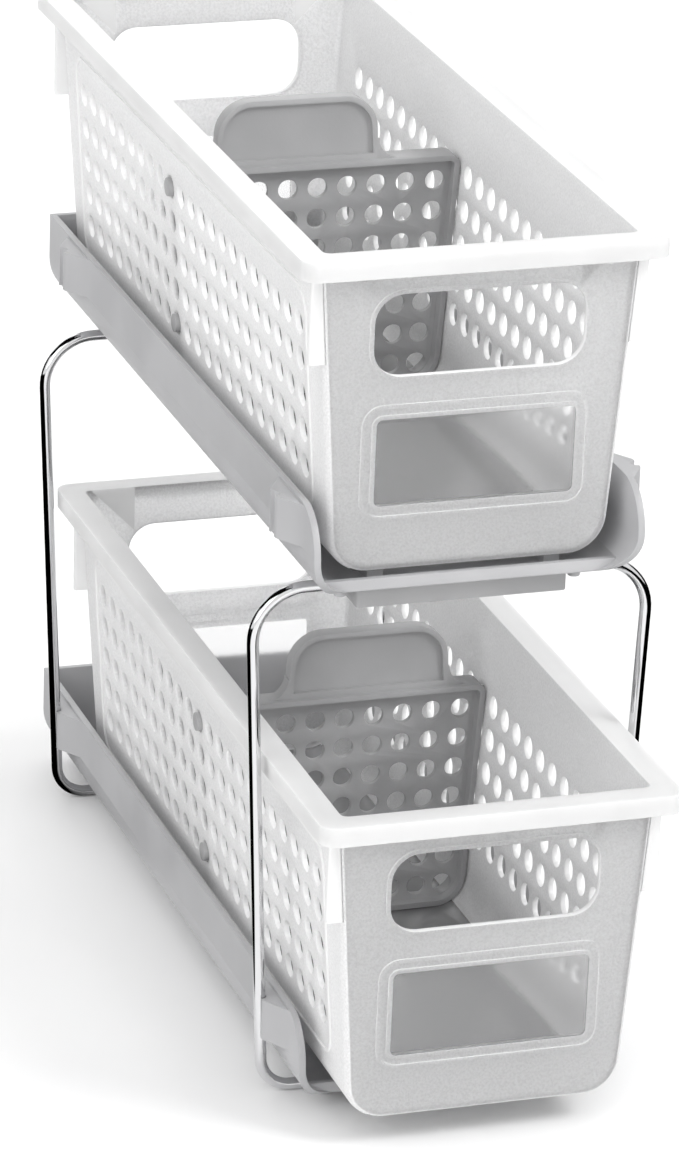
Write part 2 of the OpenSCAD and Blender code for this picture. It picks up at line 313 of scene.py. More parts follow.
def repeat(obj: Solid, step: Iterable[float], count: int) -> Solid:
    """Repeats a mesh in a row.

    Args:
        obj: The mesh to repeat.
        step: The way from one copy to the next.
        count: The number of copies, the first included.

    Returns:
        The same object.
    """
    return modify(obj, "ARRAY", use_relative_offset=False, use_constant_offset=True,
                  constant_offset_displace=Vector(step), count=count)


def moved_copy(obj: Solid, way: Matrix) -> Solid:
    """A copy with its own mesh, moved, turned or mirrored.

    Args:
        obj: The object to copy.
        way: What happens to the copy's mesh.

    Returns:
        The copy, its faces pointing outwards.
    """
    copy = obj.copy()
    copy.data = obj.data.copy()
    bpy.context.scene.collection.objects.link(copy)
    copy.data.transform(way)
    if way.is_negative:
        copy.data.flip_normals()
    return copy


def add_both(obj: Solid, tool: Solid, way: Matrix) -> None:
    """Adds a solid and its turned or mirrored copy to another. The tool is used up.

    Args:
        obj: The solid that they are added to.
        tool: The solid to add.
        way: The way from the tool to its copy.
    """
    combine(obj, moved_copy(tool, way), Cut.ADD)
    combine(obj, tool, Cut.ADD)


def ring(low: Corner, high: Corner, along: Axis, radius: float, line: float) -> Solid:
    """A rounded block whose middle is cut out, which leaves a line round it.

    Args:
        low: The lowest corner.
        high: The highest corner.
        along: The axis of the rounded edges and of the cut.
        radius: The edges' radius.
        line: The line's width.

    Returns:
        The new object.
    """
    insets = [-MM if axis is along else line for axis in Axis]
    inner_low = [value + inset for value, inset in zip(low, insets)]
    inner_high = [value - inset for value, inset in zip(high, insets)]
    inner = rounded_block(inner_low, inner_high, along, radius - line)
    return combine(rounded_block(low, high, along, radius), inner, Cut.REMOVE)


def soften(obj: Solid, width: float) -> None:
    """Rounds the sharp edges of a finished solid a little and smooths its shading.

    Args:
        obj: The solid.
        width: The width of the rounding.
    """
    sharp, smooth = math.radians(32), math.radians(35)
    modify(obj, "BEVEL", width=width, segments=2, limit_method="ANGLE", angle_limit=sharp,
           use_clamp_overlap=True, miter_outer="MITER_ARC")
    bpy.ops.object.shade_smooth_by_angle(angle=smooth)


def clean(obj: Solid) -> None:
    """Merges doubled points and turns every face outwards.

    Args:
        obj: The object.
    """
    with editing(obj):
        bpy.ops.mesh.select_all(action="SELECT")
        bpy.ops.mesh.remove_doubles(threshold=EPS)
        bpy.ops.mesh.normals_make_consistent(inside=False)


# ---- Materials ------------------------------------------------------------------------------


class Tree:
    """A node tree, with short ways to add to it."""

    def __init__(self, tree: bpy.types.NodeTree) -> None:
        """Takes up a tree.

        Args:
            tree: The node tree of a material, a group or the world.
        """
        self.nodes, self.link = tree.nodes, tree.links.new

    def fill(self, node: bpy.types.Node, values: dict[str, object]) -> bpy.types.Node:
        """Sets a node's inputs.

        Args:
            node: The node.
            values: The value of each input, by its label.

        Returns:
            The same node.
        """
        for label, value in values.items():
            node.inputs[label].default_value = value
        return node

    def add(self, kind: str, values: dict[str, object] | None = None) -> bpy.types.Node:
        """Adds a shader node.

        Args:
            kind: Its type, without the first word that they all share.
            values: The value of each input that is set, by its label.

        Returns:
            The node.
        """
        return self.fill(self.nodes.new("ShaderNode" + kind), values or {})

    def group(self, group: bpy.types.NodeTree) -> bpy.types.Node:
        """Adds a node that holds a group.

        Args:
            group: The group.

        Returns:
            The node.
        """
        node = self.add("Group")
        node.node_tree = group
        return node

    def calculate(self, operation: str, *values: Socket, clamp: bool = False) -> Socket:
        """Adds a math node.

        Args:
            operation: What it works out.
            *values: The sockets it works on.
            clamp: Whether the result is held between 0 and 1.

        Returns:
            The result's socket.
        """
        node = self.add("Math")
        node.operation = operation
        node.use_clamp = clamp
        for slot, value in zip(node.inputs, values):
            self.link(value, slot)
        return node.outputs[0]

    def mapped(self, value: Socket, source: Span = (0.0, 1.0), target: Span = (0.0, 1.0),
               smooth: bool = False) -> Socket:
        """Maps one range of a value onto another.

        Args:
            value: The value's socket.
            source: The range it comes in.
            target: The range it is mapped onto.
            smooth: Whether the ends of the range are eased.

        Returns:
            The result's socket.
        """
        node = self.add("MapRange", {
            "From Min": source[0], "From Max": source[1], "To Min": target[0], "To Max": target[1],
        })
        node.interpolation_type = "SMOOTHSTEP" if smooth else "LINEAR"
        self.link(value, node.inputs["Value"])
        return node.outputs["Result"]


def new_material(name: str) -> tuple[bpy.types.Material, Tree]:
    """Starts a material.

    Args:
        name: Its name.

    Returns:
        The material and its node tree.
    """
    material = bpy.data.materials.new(name)
    material.use_nodes = True
    return material, Tree(material.node_tree)


def stipple_group() -> bpy.types.NodeTree:
    """The fine sparkle of a frosted mould: a height and a patchy mask, on object coordinates.

    Returns:
        The node group, with the input Scale and the outputs Height and Patch.
    """
    group = bpy.data.node_groups.new("stipple", "ShaderNodeTree")
    for label, way in (("Scale", "INPUT"), ("Height", "OUTPUT"), ("Patch", "OUTPUT")):
        group.interface.new_socket(label, in_out=way, socket_type="NodeSocketFloat")
    tree = Tree(group)
    source, sink = tree.nodes.new("NodeGroupInput"), tree.nodes.new("NodeGroupOutput")
    coords = tree.add("TexCoord")
    fine = tree.add("TexNoise", {"Detail": 3.0, "Roughness": 0.65})
    patch = tree.add("TexNoise", {"Detail": 2.0, "Scale": 28.0})
    tree.link(source.outputs["Scale"], fine.inputs["Scale"])
    for label, noise in (("Height", fine), ("Patch", patch)):
        tree.link(coords.outputs["Object"], noise.inputs["Vector"])
        tree.link(noise.outputs["Fac"], sink.inputs[label])
    return group


@dataclass(frozen=True)
class Plastic:
    """A moulded plastic, from clear to opaque."""

    name: str
    colour: Colour
    roughness: float
    grain: float
    grain_scale: float = 900.0
    grain_depth: float = 0.4 * MM
    spread: float = 0.08
    through: float = 0.0
    ior: float = 1.49
    subsurface: float = 0.0
    mean_path: float = 3 * MM
    tone_spread: float = 0.02
    speckled: bool = False
    speckle_band: float = 0.14

    def build(self, stipple: bpy.types.NodeTree) -> bpy.types.Material:
        """Makes the material.

        Args:
            stipple: The shared stipple group.

        Returns:
            The material.
        """
        material, tree = new_material(self.name)
        shader = tree.fill(tree.nodes["Principled BSDF"], {
            "IOR": self.ior, "Transmission Weight": self.through,
            "Subsurface Weight": self.subsurface, "Subsurface Radius": (1, 1, 1),
            "Subsurface Scale": self.mean_path,
        })
        group = tree.fill(tree.group(stipple), {"Scale": self.grain_scale})
        height, patch = group.outputs["Height"], group.outputs["Patch"]
        rough = tree.mapped(
            patch, target=(self.roughness - self.spread, self.roughness + self.spread)
        )
        tree.link(rough, shader.inputs["Roughness"])
        tone = tree.add("Mix")
        tone.data_type = "RGBA"
        # Several sockets of this node share their labels, so the colours' are found by number
        dark, light, result = tone.inputs[6], tone.inputs[7], tone.outputs[2]
        dark.default_value = (*(max(0.0, part - self.tone_spread) for part in self.colour), 1)
        light.default_value = (*(min(1.0, part + self.tone_spread) for part in self.colour), 1)
        speckle = tree.mapped(height if self.speckled else patch,
                              source=(0.5 - self.speckle_band, 0.5 + self.speckle_band))
        tree.link(speckle, tone.inputs["Factor"])
        tree.link(result, shader.inputs["Base Color"])
        bump = tree.add("Bump", {"Strength": self.grain, "Distance": self.grain_depth})
        tree.link(height, bump.inputs["Height"])
        tree.link(bump.outputs["Normal"], shader.inputs["Normal"])
        return material


@dataclass(frozen=True)
class Chrome:
    """Bright plated wire."""

    name: str = "chrome_wire"
    colour: Colour = (0.72, 0.72, 0.73)
    roughness: Span = (0.03, 0.11)

    def build(self, stipple: bpy.types.NodeTree) -> bpy.types.Material:
        """Makes the material.

        Args:
            stipple: The shared stipple group.

        Returns:
            The material.
        """
        material, tree = new_material(self.name)
        shader = tree.fill(tree.nodes["Principled BSDF"],
                           {"Metallic": 1.0, "Base Color": (*self.colour, 1.0)})
        rough = tree.mapped(tree.group(stipple).outputs["Patch"], target=self.roughness)
        tree.link(rough, shader.inputs["Roughness"])
        return material


# ---- The pieces -----------------------------------------------------------------------------


class Finish(Enum):
    """The finishes of a basket's moulding. The rim's and the edges' colours are the walls' plastic
    with painted shade.
    """

    SIDE = "frosted_plastic"
    RIM = "rim_plastic"
    END = "stippled_plastic"
    WINDOW = "window_plastic"
    EDGE = "edge_plastic"
    BASE = "base_plastic"


@dataclass
class Piece(ABC):
    """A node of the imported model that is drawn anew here."""

    part: ClassVar[str]
    slot: ClassVar[str]
    softness: ClassVar[float] = 0.5 * MM
    node: str
    low: Vector = field(init=False)
    high: Vector = field(init=False)

    def __post_init__(self) -> None:
        """Reads the node's box."""
        self.low, self.high = (Vector(corner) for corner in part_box(self.node))

    @property
    def body(self) -> str:
        """The body it rides on."""
        return "frame"

    @property
    @abstractmethod
    def placing(self) -> Matrix:
        """The way from the moulding's own place to its place in the frame."""

    @abstractmethod
    def moulding(self) -> Solid:
        """The plain solid, round its own origin."""

    def build(self, material: bpy.types.Material) -> Solid:
        """Builds and dresses the moulding.

        Args:
            material: Its finish.

        Returns:
            The finished mesh, round its own origin.
        """
        obj = self.moulding()
        obj.data.materials.append(material)
        self.dress(obj)
        return obj

    def dress(self, obj: Solid) -> None:
        """Rounds the moulding's edges and shades it."""
        soften(obj, self.softness)

    def put(self, shape: Solid) -> None:
        """Puts a copy of the finished moulding in place and ties it to its body and node.

        Args:
            shape: The finished mesh, built round the origin.
        """
        obj = named(moved_copy(shape, self.placing), f"{self.node}_{self.part}")
        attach(obj, self.body)
        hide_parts(self.node)
        log.info("%s: %d faces on %s", obj.name, len(obj.data.polygons), self.body)


@dataclass
class Basket(Piece):
    """A tapered, perforated basket with a turned-down rim. Built with its base on Z = 0."""

    part: ClassVar[str] = "shell"
    slot: ClassVar[str] = "frosted_plastic"
    softness: ClassVar[float] = 0.45 * MM
    wall: float = 2 * MM
    side_lean: float = math.radians(4)
    end_lean: float = math.radians(1.7)
    rim_band: float = 8.2 * MM
    rim_drop: float = 7.5 * MM
    corner_r: float = 4.5 * MM
    base_r: float = 14 * MM
    hole_r: float = 4.5 * MM
    hole_pitch: float = 13.8 * MM
    hole_cols: int = 22
    hole_rows: int = 5
    first_row: float = 35.1 * MM
    # The raised line round the field of holes: its radius and how far off the holes' axes it runs
    field_r: float = 10 * MM
    field_end: float = 10.5 * MM
    field_edge: float = 15.7 * MM
    bead_h: float = 0.7 * MM
    bead_w: float = 1.6 * MM
    sink: float = 0.6 * MM
    grip_w: float = 80.4 * MM
    grip_h: float = 31.5 * MM
    grip_r: float = 11 * MM
    grip_drop: float = 16.5 * MM
    window_w: float = 87 * MM
    window_h: float = 44.5 * MM
    window_r: float = 8 * MM
    window_gap: float = 10.6 * MM
    window_band: float = 2.4 * MM
    fin_drop: float = 42 * MM
    fin_reach: float = 5.7 * MM
    fin_thick: float = 3 * MM
    fin_sink: float = 0.3 * MM
    fin_inset: float = 1.4 * MM
    fin_r: float = MM

    @property
    def body(self) -> str:
        """The body it rides on, which has its own name."""
        return self.node

    @property
    def height(self) -> float:
        """Height of the basket."""
        return self.high.z - self.low.z

    @property
    def placing(self) -> Matrix:
        """The way to the middle of the basket's base in the frame."""
        centre = (self.low + self.high) / 2
        return Matrix.Translation((centre.x, centre.y, self.low.z))

    @property
    def field_half(self) -> float:
        """Distance from the middle to the last hole's axis in a row."""
        return self.hole_pitch * (self.hole_cols - 1) / 2

    @property
    def field_drop(self) -> float:
        """Distance from the first row of holes to the last."""
        return (self.hole_rows - 1) * self.hole_pitch

    @property
    def inmost(self) -> float:
        """Distance from the middle that every point of an end wall is beyond."""
        return self.end_y(self.height) - 2 * self.wall

    def side_x(self, depth: float) -> float:
        """Half-width of the outside at a depth below the rim's top."""
        half = (self.high.x - self.low.x) / 2 - self.rim_band
        return half - depth * math.tan(self.side_lean)

    def end_y(self, depth: float) -> float:
        """Half-length of the outside at a depth below the rim's top."""
        half = (self.high.y - self.low.y) / 2 - self.rim_band
        return half - depth * math.tan(self.end_lean)

    def sheet(self) -> Solid:
        """The outside of the walls and the inside of the rim, as one open sheet.

        Returns:
            The sheet, its faces pointing out of the basket.
        """
        top = self.height - self.wall
        x, y = self.side_x(self.wall), self.end_y(self.wall)
        obj = block((-x, -y, 0), (x, y, top))
        taper = (self.side_x(self.height) / x, self.end_y(self.height) / y, 1)
        with editing(obj):
            pick(obj, "FACE", lambda face: face.normal.z < -FACING)
            bpy.ops.transform.resize(value=taper, center_override=(0, 0, 0))
        round_edges(obj, lambda e: runs_along(e, Axis.Y) and middle(e).z < EPS, self.base_r, 10)
        round_edges(obj, self.is_end_outline, self.corner_r, 5)
        rim_x = (self.high.x - self.low.x) / 2 - self.wall
        rim_y = (self.high.y - self.low.y) / 2 - self.wall
        with editing(obj):
            pick(obj, "FACE", lambda face: face.normal.z > STRAIGHT
                 and face.calc_center_median().z > top - EPS)
            bpy.ops.mesh.delete(type="FACE")
            pick(obj, "EDGE", lambda edge: edge.is_boundary)
            bpy.ops.mesh.extrude_region_move()
            bpy.ops.transform.resize(value=(rim_x / x, rim_y / y, 1), center_override=(0, 0, top))
            bpy.ops.mesh.extrude_region_move(
                TRANSFORM_OT_translate={"value": (0, 0, self.wall - self.rim_drop)}
            )
        return obj

    def is_end_outline(self, edge: Edge) -> bool:
        """True where an edge lies round an end wall, but not along its top."""
        if len(edge.link_faces) != 2 or any(face.normal.z > STRAIGHT for face in edge.link_faces):
            return False
        ends = [abs(face.normal.y) > FACING for face in edge.link_faces]
        return ends[0] != ends[1]

    def shell(self) -> Solid:
        """The sheet with its thickness.

        Returns:
            The walls, base and rim as one solid.
        """
        obj = self.sheet()
        modify(obj, "SOLIDIFY", thickness=self.wall, offset=-1, use_even_offset=True)
        clean(obj)
        return obj

    def lean(self, obj: Solid, axis: Axis, slope: float) -> None:
        """Leans a solid over, so that it follows a wall.

        Args:
            obj: The solid.
            axis: The direction it leans in.
            slope: How far it goes for each length of depth below the rim's top.
        """
        for vertex in obj.data.vertices:
            vertex.co[axis.value] += (self.height - vertex.co.z) * slope

    def end_line(self, width: float, height: float, radius: float, line: float,
                 depth: float) -> Solid:
        """A raised line round a rounded rectangle on the front wall.

        Args:
            width: The rectangle's outer width.
            height: Its outer height.
            radius: Its outer corner radius.
            line: The line's width, or 0 to fill the rectangle.
            depth: The rectangle's upper edge, below the rim's top.

        Returns:
            The line as a solid, leaning with the wall.
        """
        top = self.height - depth
        wall_y = self.end_y(0)
        near, far = -wall_y - self.bead_h, -wall_y + self.sink
        low, high = (-width / 2, near, top - height), (width / 2, far, top)
        if line:
            obj = ring(low, high, Axis.Y, radius, line)
        else:
            obj = rounded_block(low, high, Axis.Y, radius)
        self.lean(obj, Axis.Y, math.tan(self.end_lean))
        return obj

    def side_line(self) -> Solid:
        """The raised line round the field of holes on the right wall.

        Returns:
            The line as a solid, leaning with the wall.
        """
        reach = self.field_half + self.field_end
        top = self.height - self.first_row + self.field_edge
        base = self.height - self.first_row - self.field_drop - self.field_edge
        near, far = self.side_x(0) - self.sink, self.side_x(0) + self.bead_h
        obj = ring((near, -reach, base), (far, reach, top), Axis.X, self.field_r, self.bead_w)
        self.lean(obj, Axis.X, -math.tan(self.side_lean))
        return obj

    @property
    def window_depth(self) -> float:
        """Depth of the label window's upper edge below the rim's top."""
        return self.grip_drop + self.grip_h + self.window_gap

    def raise_lines(self, obj: Solid) -> None:
        """Adds the raised lines to the walls.

        Args:
            obj: The shell.
        """
        inset = self.bead_w + self.window_band
        lines = [
            self.end_line(self.grip_w + 2 * self.bead_w, self.grip_h + 2 * self.bead_w,
                          self.grip_r + self.bead_w, 0, self.grip_drop - self.bead_w),
            self.end_line(self.window_w, self.window_h, self.window_r, self.bead_w,
                          self.window_depth),
            self.end_line(self.window_w - 2 * inset, self.window_h - 2 * inset,
                          self.window_r - inset, self.bead_w, self.window_depth + inset),
            self.side_line(),
        ]
        for line in lines:
            add_both(obj, line, HALF_TURN)
        right_fin = self.fin()
        for fin in (moved_copy(right_fin, MIRROR), right_fin):
            add_both(obj, fin, HALF_TURN)

    def fin(self) -> Solid:
        """The upright fin under the rim at the front right corner.

        Returns:
            The fin as a solid: its outer face is upright and its root follows the wall.
        """
        root = self.side_x(0) - self.wall + self.fin_sink
        tip = (self.high.x - self.low.x) / 2 - self.fin_reach
        near = -self.end_y(0) + self.fin_inset
        far, top = near + self.fin_thick, self.height - self.wall / 2
        obj = rounded_block((root, near, self.height - self.fin_drop), (tip, far, top), Axis.Z,
                            self.fin_r, 3)
        self.lean(obj, Axis.Y, math.tan(self.end_lean))
        for vertex in obj.data.vertices:
            if vertex.co.x < (root + tip) / 2:
                vertex.co.x -= (self.height - vertex.co.z) * math.tan(self.side_lean)
        return obj

    def cut_openings(self, obj: Solid) -> None:
        """Cuts the hand holes and the side holes.

        Args:
            obj: The shell.
        """
        top = self.height - self.grip_drop
        reach = self.end_y(0) + OVERSHOOT
        grips = rounded_block((-self.grip_w / 2, -reach, top - self.grip_h),
                              (self.grip_w / 2, reach, top), Axis.Y, self.grip_r)
        combine(obj, grips, Cut.REMOVE)
        first = (0, -self.field_half, self.height - self.first_row)
        holes = rod(first, self.hole_r, 2 * self.side_x(0) + OVERSHOOT, Axis.X, sides=24)
        repeat(holes, (0, self.hole_pitch, 0), self.hole_cols)
        repeat(holes, (0, 0, -self.hole_pitch), self.hole_rows)
        combine(obj, holes, Cut.REMOVE)

    @property
    def pane(self) -> tuple[float, float, float]:
        """Half-width, foot and top of a label window inside its inner line."""
        inset = 2 * self.bead_w + self.window_band
        top = self.height - self.window_depth - inset
        return self.window_w / 2 - inset, top - self.window_h + 2 * inset, top

    def is_window(self, corners: list[Vector]) -> bool:
        """True where a whole face lies inside a label window's inner line."""
        half, base, top = self.pane
        return all(abs(corner.y) > self.inmost and abs(corner.x) <= half + EPS
                   and base - EPS <= corner.z <= top + EPS for corner in corners)

    def is_inner_end(self, face: Face) -> bool:
        """True where a face is the inside of an end wall."""
        centre, normal = face.calc_center_median(), face.normal
        on_end = abs(centre.y) > self.inmost and abs(normal.y) > FACING
        return on_end and centre.y * normal.y < 0

    def split_inside(self, obj: Solid) -> None:
        """Splits the insides of the end walls along their windows' outlines.

        Args:
            obj: The shell.
        """
        half, base, top = self.pane
        cuts = [((x, 0, 0), (1, 0, 0)) for x in (-half, half)]
        cuts += [((0, 0, z), (0, 0, 1)) for z in (base, top)]
        with editing(obj):
            for place, across in cuts:
                pick(obj, "FACE", self.is_inner_end)
                bpy.ops.mesh.bisect(plane_co=place, plane_no=across)

    def is_proud(self, centre: Vector) -> bool:
        """True where a point stands off a side wall: on a raised line or a fin."""
        return abs(centre.x) > self.side_x(self.height - centre.z) + self.bead_h / 3

    def is_cut_wall(self, centre: Vector, normal: Vector) -> bool:
        """True where a face is the wall's own thickness, seen in a hole that goes through it."""
        depth, thick = self.height - centre.z, 1.5 * self.wall
        edge_on = 0.6
        in_side = abs(centre.x) > self.side_x(depth) - thick and abs(normal.x) < edge_on
        in_end = abs(centre.y) > self.end_y(depth) - thick and abs(normal.y) < edge_on
        reach = self.field_half + self.hole_r + MM
        lowest = self.first_row + self.field_drop + self.hole_r + MM
        grip_foot = self.grip_drop + self.grip_h + MM
        in_hole = in_side and abs(centre.y) < reach and depth < lowest
        return in_hole or in_end and abs(centre.x) < self.grip_w / 2 + MM and depth < grip_foot

    def is_rim(self, centre: Vector) -> bool:
        """True where a point lies on the rim or on the walls that it hides."""
        depth, band = self.height - centre.z, 2.5 * self.wall
        by_side = abs(centre.x) > self.side_x(depth) - band
        by_end = abs(centre.y) > self.end_y(depth) - band
        return depth < self.rim_drop and (by_side or by_end)

    def true_up(self, obj: Solid) -> None:
        """Scales the shell by a hair, so that it keeps to its node's box.

        Args:
            obj: The shell.
        """
        corners = [Vector(vertex.co) for vertex in obj.data.vertices]
        room = self.high - self.low
        scale = []
        for axis in Axis:
            along = [corner[axis.value] for corner in corners]
            scale.append(room[axis.value] / (max(along) - min(along)))
        obj.data.transform(Matrix.Diagonal((*scale, 1)))

    def finish_of(self, face: bpy.types.MeshPolygon, corners: list[Vector]) -> Finish:
        """The finish that a face of the moulding gets, by its place.

        Args:
            face: The face.
            corners: Its corners.

        Returns:
            Its finish.
        """
        centre, normal = face.center, face.normal
        flat = 0.8
        if self.is_window(corners):
            return Finish.WINDOW
        if self.is_rim(centre):
            return Finish.RIM
        if self.is_proud(centre) or self.is_cut_wall(centre, normal):
            return Finish.EDGE
        if centre.z < 2 * self.wall and abs(normal.z) > flat:
            return Finish.BASE
        if abs(centre.y) > self.inmost and abs(normal.y) > flat:
            return Finish.END
        return Finish.SIDE

    def moulding(self) -> Solid:
        """The basket as a solid, the middle of its base at the origin."""
        obj = self.shell()
        self.true_up(obj)
        self.raise_lines(obj)
        self.cut_openings(obj)
        self.split_inside(obj)
        return obj

    def build(self, finishes: dict[Finish, bpy.types.Material]) -> Solid:
        """Builds the moulding and gives each of its faces a finish.

        Args:
            finishes: The material of each finish.

        Returns:
            The finished mesh, round its own origin.
        """
        obj = self.moulding()
        order, points = list(Finish), obj.data.vertices
        for finish in order:
            obj.data.materials.append(finishes[finish])
        for face in obj.data.polygons:
            corners = [points[index].co for index in face.vertices]
            face.material_index = order.index(self.finish_of(face, corners))
        self.dress(obj)
        return obj


@dataclass
class Divider(Piece):
    """A perforated plate with an edge flange, a handle and snap pegs. Z = 0 is the rim's top."""

    part: ClassVar[str] = "plate"
    slot: ClassVar[str] = "grey_plastic"
    basket: Basket
    turned: bool = False
    thick: float = 2.2 * MM
    flange: float = 11 * MM
    handle_flange: float = 6 * MM
    gap: float = 0.6 * MM
    shoulder_drop: float = 28.3 * MM
    handle_root: float = 5 * MM
    shoulder_r: float = 4 * MM
    handle_drop: float = 2.4 * MM
    handle_w: float = 66 * MM
    handle_shift: float = 9 * MM
    handle_lean: float = 1.5 * MM
    handle_r: float = 13 * MM
    fillet_r: float = 8 * MM
    vent_r: float = 4 * MM
    vent_cols: int = 9
    vent_rows: int = 7
    vent_pitch: float = 12.4 * MM
    vent_margin: float = 8.2 * MM
    vent_drop: float = 10.9 * MM
    peg_clear: float = 0.5 * MM
    peg_out: float = 1.5 * MM
    peg_taper: float = 0.4 * MM

    @property
    def body(self) -> str:
        """The body it rides on: its basket's."""
        return self.basket.node

    @property
    def placing(self) -> Matrix:
        """The way to its place along the basket, turned round if need be."""
        place = Matrix.Translation((0, (self.low.y + self.high.y) / 2, self.basket.high.z))
        return place @ HALF_TURN if self.turned else place

    def edge_x(self, depth: float) -> float:
        """Half-width of the plate at a depth below the rim's top."""
        wall = self.basket.wall / math.cos(self.basket.side_lean)
        return self.basket.side_x(depth) - wall - self.gap

    def plate(self, inset: float, near: float, far: float) -> Solid:
        """The outline of the plate below its shoulders, drawn in by inset, as a solid.

        Args:
            inset: How far the outline is drawn in.
            near: The solid's front.
            far: Its back.

        Returns:
            The solid.
        """
        top = -self.shoulder_drop - inset
        base = -(self.basket.height - self.basket.wall - self.gap) + inset
        wide, narrow = self.edge_x(-top) - inset, self.edge_x(-base) - inset
        obj = block((-wide, near, base), (wide, far, top))
        with editing(obj):
            pick(obj, "FACE", lambda face: face.normal.z < -FACING)
            bpy.ops.transform.resize(value=(narrow / wide, 1, 1), center_override=(0, 0, base))
        base_r = self.basket.base_r - self.basket.wall - self.gap - inset
        round_edges(obj, lambda e: runs_along(e, Axis.Y) and middle(e).z < base + EPS, base_r, 10)
        round_edges(obj, lambda e: runs_along(e, Axis.Y) and middle(e).z > top - EPS,
                    self.shoulder_r - inset, 5)
        return obj

    def handle(self, inset: float, foot: float, near: float, far: float) -> Solid:
        """The handle's outline, drawn in by inset, as a solid.

        Args:
            inset: How far the outline is drawn in.
            foot: The solid's underside.
            near: Its front.
            far: Its back.

        Returns:
            The solid.
        """
        half = self.handle_w / 2 - inset
        top = -self.handle_drop - inset
        middle_x = self.handle_shift
        obj = block((middle_x - half, near, foot), (middle_x + half, far, top))
        with editing(obj):
            pick(obj, "FACE", lambda face: face.normal.z > FACING)
            bpy.ops.transform.resize(value=(1 - self.handle_lean / half, 1, 1),
                                     center_override=(middle_x, 0, top))
        return round_edges(obj, lambda e: runs_along(e, Axis.Y) and middle(e).z > top - EPS,
                           self.handle_r - inset, 8)

    def fillet(self, side: int, depth: float) -> Solid:
        """The hollow curve where the handle meets a shoulder.

        Args:
            side: -1 for the left and 1 for the right.
            depth: Its depth, front to back.

        Returns:
            The solid.
        """
        r = self.fillet_r
        root = self.handle_shift + side * (self.handle_w / 2 - MM)
        tip = self.handle_shift + side * (self.handle_w / 2 + r)
        foot = -self.shoulder_drop
        obj = block((min(root, tip), -depth / 2, foot - MM), (max(root, tip), depth / 2, foot + r))
        hollow = rod((tip, 0, foot + r), r, depth + 2 * MM, Axis.Y, sides=48)
        return combine(obj, hollow, Cut.REMOVE)

    def vents(self) -> Solid:
        """The rods that cut the round holes.

        Returns:
            One mesh with every rod.
        """
        half = (self.vent_cols - 1) // 2
        rows = []
        for row in range(self.vent_rows):
            depth = self.shoulder_drop + self.vent_drop + row * self.vent_pitch
            pitch = (self.edge_x(depth) - self.vent_margin) / half
            first = rod((-half * pitch, 0, -depth), self.vent_r, self.flange, Axis.Y, sides=28)
            rows.append(repeat(first, (pitch, 0, 0), self.vent_cols))
        return join(rows)

    def pegs(self) -> list[Solid]:
        """The snap pegs on both edges.

        Returns:
            The pegs as solids.
        """
        made = []
        for row in (0, self.basket.hole_rows - 1):
            depth = self.basket.first_row + row * self.basket.hole_pitch
            inner = self.edge_x(depth) - self.thick / 2
            outer = self.basket.side_x(depth) + self.peg_out
            radius = self.basket.hole_r - self.peg_clear
            peg = rod(((inner + outer) / 2, 0, -depth), radius, outer - inner, Axis.X,
                      tip=radius - self.peg_taper)
            made += [moved_copy(peg, MIRROR), peg]
        return made

    def moulding(self) -> Solid:
        """The divider as a solid, the rim's top at Z = 0."""
        half, thin, grip = self.flange / 2, self.thick / 2, self.handle_flange / 2
        shoulder = -self.shoulder_drop
        obj = self.plate(0, -half, half)
        combine(obj, self.handle(0, shoulder - self.handle_root, -grip, grip), Cut.ADD)
        for side in (-1, 1):
            combine(obj, self.fillet(side, self.handle_flange), Cut.ADD)
        for near, far in ((-half - MM, -thin), (thin, half + MM)):
            combine(obj, self.plate(self.thick, near, far), Cut.REMOVE)
            panel = self.handle(self.thick, shoulder + self.thick, near, far)
            combine(obj, panel, Cut.REMOVE)
        combine(obj, self.vents(), Cut.REMOVE)
        for peg in self.pegs():
            combine(obj, peg, Cut.ADD)
        return obj


